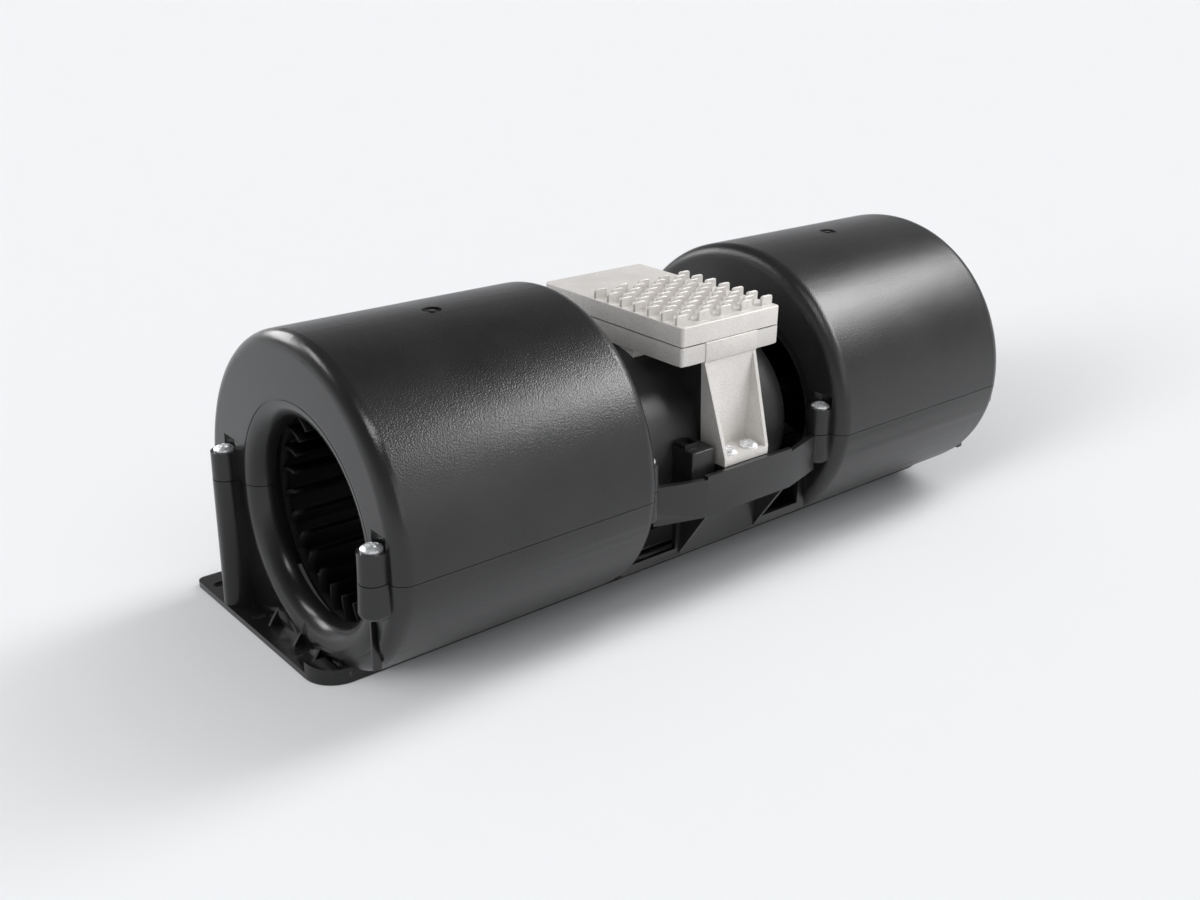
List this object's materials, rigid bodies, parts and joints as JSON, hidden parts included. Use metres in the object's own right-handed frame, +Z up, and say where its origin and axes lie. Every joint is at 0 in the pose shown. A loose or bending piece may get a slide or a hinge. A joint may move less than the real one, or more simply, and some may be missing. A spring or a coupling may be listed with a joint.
{
  "type": "twin centrifugal blower",
  "caption": "Double-inlet centrifugal blower with a motor between two scroll housings, a finned electronics box above it and a slotted flange for downward discharge.",
  "frame": {"origin": "on the underside of the flange, midway between the two scroll housings and straight below the motor axis", "axes": "+X along the motor axis towards the rounded end of the motor, +Y away from the cable side, +Z up from the mounting face"},
  "size_m": [0.4136, 0.1745, 0.1487],
  "materials": {
    "black_housing": "fine grained black moulding",
    "black_wheel": "plain black moulding",
    "motor_black": "smooth black moulding",
    "motor_grey": "dark satin coat",
    "zinc": "bright zinc plate",
    "steel": "ground steel",
    "laminations": "grey lacquered steel",
    "copper": "enamelled copper",
    "cast_aluminium": "die cast, fine grain",
    "seal_rubber": "matt",
    "board_green": "lacquered laminate",
    "component_black": "matt"
  },
  "bodies": {
    "housing": {"base_housing": "black_housing", "left_cover": "black_housing", "right_cover": "black_housing", "cover_screws": "zinc", "left_bearing": "steel", "right_bearing": "steel", "motor_cover": "motor_black", "motor_can": "motor_grey", "stator_core": "laminations", "windings": "copper", "motor_screws": "zinc", "controller_housing": "cast_aluminium", "leg_screws": "zinc", "heatsink_lid": "cast_aluminium", "lid_seal": "seal_rubber", "lid_screws": "zinc", "controller_board": "board_green", "board_parts": "component_black", "connector_block": "black_wheel"},
    "rotor": {"left_wheel": "black_wheel", "right_wheel": "black_wheel", "left_wheel_disc": "black_wheel", "right_wheel_disc": "black_wheel", "left_hub_clip": "steel", "right_hub_clip": "steel", "shaft": "steel", "rotor_magnet": "laminations"}
  },
  "joints": [
    {"name": "impeller_spin", "type": "hinge", "parent": "housing", "child": "rotor", "pos_m": [0, 0, 0.0658], "axis": [1, 0, 0], "continuous": true}
  ]
}
